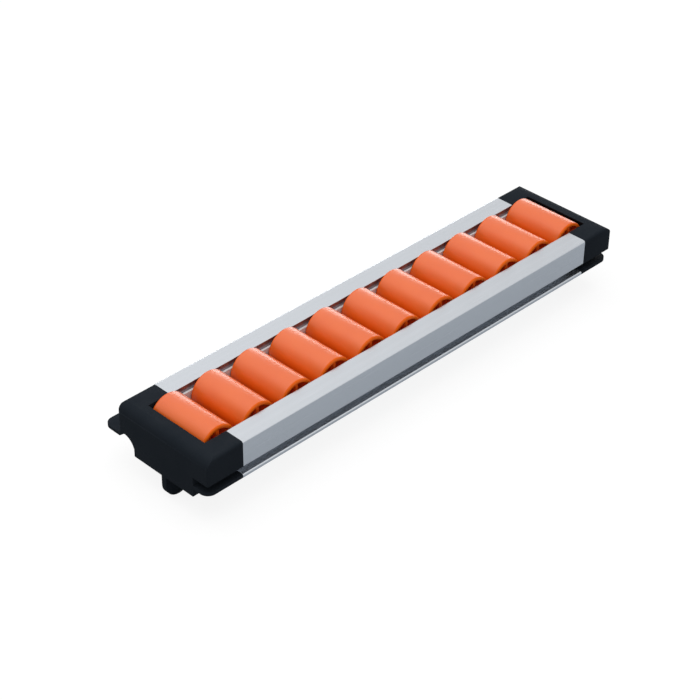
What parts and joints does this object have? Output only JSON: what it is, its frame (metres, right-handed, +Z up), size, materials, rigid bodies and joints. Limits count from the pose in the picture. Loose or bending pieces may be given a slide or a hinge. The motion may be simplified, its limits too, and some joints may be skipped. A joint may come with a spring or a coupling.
{
  "type": "flow rack roller track",
  "caption": "Straight flow rack track: orange plastic rollers turn on steel axles in a wide grooved aluminium rail with black end caps.",
  "frame": {"origin": "centre of the rail's flat underside, which rests on the rack's cross members", "axes": "+X along the track, +Y across it towards the side with the tongues, +Z up, out of the rollers' side"},
  "size_m": [0.38, 0.0978, 0.0555],
  "materials": {
    "aluminium": "natural anodised, satin",
    "black_plastic": "moulded, satin",
    "orange_plastic": "moulded, glossy",
    "steel": "bright drawn, zinc plated",
    "natural_plastic": "moulded, natural colour"
  },
  "bodies": {
    "track": {"rail_profile": "aluminium", "axle_strip_left": "natural_plastic", "axle_strip_right": "natural_plastic", "end_cap_front": "black_plastic", "end_cap_rear": "black_plastic", "axle_01": "steel", "axle_02": "steel", "axle_03": "steel", "axle_04": "steel", "axle_05": "steel", "axle_06": "steel", "axle_07": "steel", "axle_08": "steel", "axle_09": "steel", "axle_10": "steel", "axle_11": "steel"},
    "roller_01": {"roller_01": "orange_plastic"},
    "roller_02": {"roller_02": "orange_plastic"},
    "roller_03": {"roller_03": "orange_plastic"},
    "roller_04": {"roller_04": "orange_plastic"},
    "roller_05": {"roller_05": "orange_plastic"},
    "roller_06": {"roller_06": "orange_plastic"},
    "roller_07": {"roller_07": "orange_plastic"},
    "roller_08": {"roller_08": "orange_plastic"},
    "roller_09": {"roller_09": "orange_plastic"},
    "roller_10": {"roller_10": "orange_plastic"},
    "roller_11": {"roller_11": "orange_plastic"}
  },
  "joints": [
    {"name": "roller_01_spin", "type": "hinge", "parent": "track", "child": "roller_01", "pos_m": [-0.165, 0, 0.018], "axis": [0, 1, 0], "continuous": true},
    {"name": "roller_02_spin", "type": "hinge", "parent": "track", "child": "roller_02", "pos_m": [-0.132, 0, 0.018], "axis": [0, 1, 0], "continuous": true},
    {"name": "roller_03_spin", "type": "hinge", "parent": "track", "child": "roller_03", "pos_m": [-0.099, 0, 0.018], "axis": [0, 1, 0], "continuous": true},
    {"name": "roller_04_spin", "type": "hinge", "parent": "track", "child": "roller_04", "pos_m": [-0.066, 0, 0.018], "axis": [0, 1, 0], "continuous": true},
    {"name": "roller_05_spin", "type": "hinge", "parent": "track", "child": "roller_05", "pos_m": [-0.033, 0, 0.018], "axis": [0, 1, 0], "continuous": true},
    {"name": "roller_06_spin", "type": "hinge", "parent": "track", "child": "roller_06", "pos_m": [0, 0, 0.018], "axis": [0, 1, 0], "continuous": true},
    {"name": "roller_07_spin", "type": "hinge", "parent": "track", "child": "roller_07", "pos_m": [0.033, 0, 0.018], "axis": [0, 1, 0], "continuous": true},
    {"name": "roller_08_spin", "type": "hinge", "parent": "track", "child": "roller_08", "pos_m": [0.066, 0, 0.018], "axis": [0, 1, 0], "continuous": true},
    {"name": "roller_09_spin", "type": "hinge", "parent": "track", "child": "roller_09", "pos_m": [0.099, 0, 0.018], "axis": [0, 1, 0], "continuous": true},
    {"name": "roller_10_spin", "type": "hinge", "parent": "track", "child": "roller_10", "pos_m": [0.132, 0, 0.018], "axis": [0, 1, 0], "continuous": true},
    {"name": "roller_11_spin", "type": "hinge", "parent": "track", "child": "roller_11", "pos_m": [0.165, 0, 0.018], "axis": [0, 1, 0], "continuous": true}
  ]
}
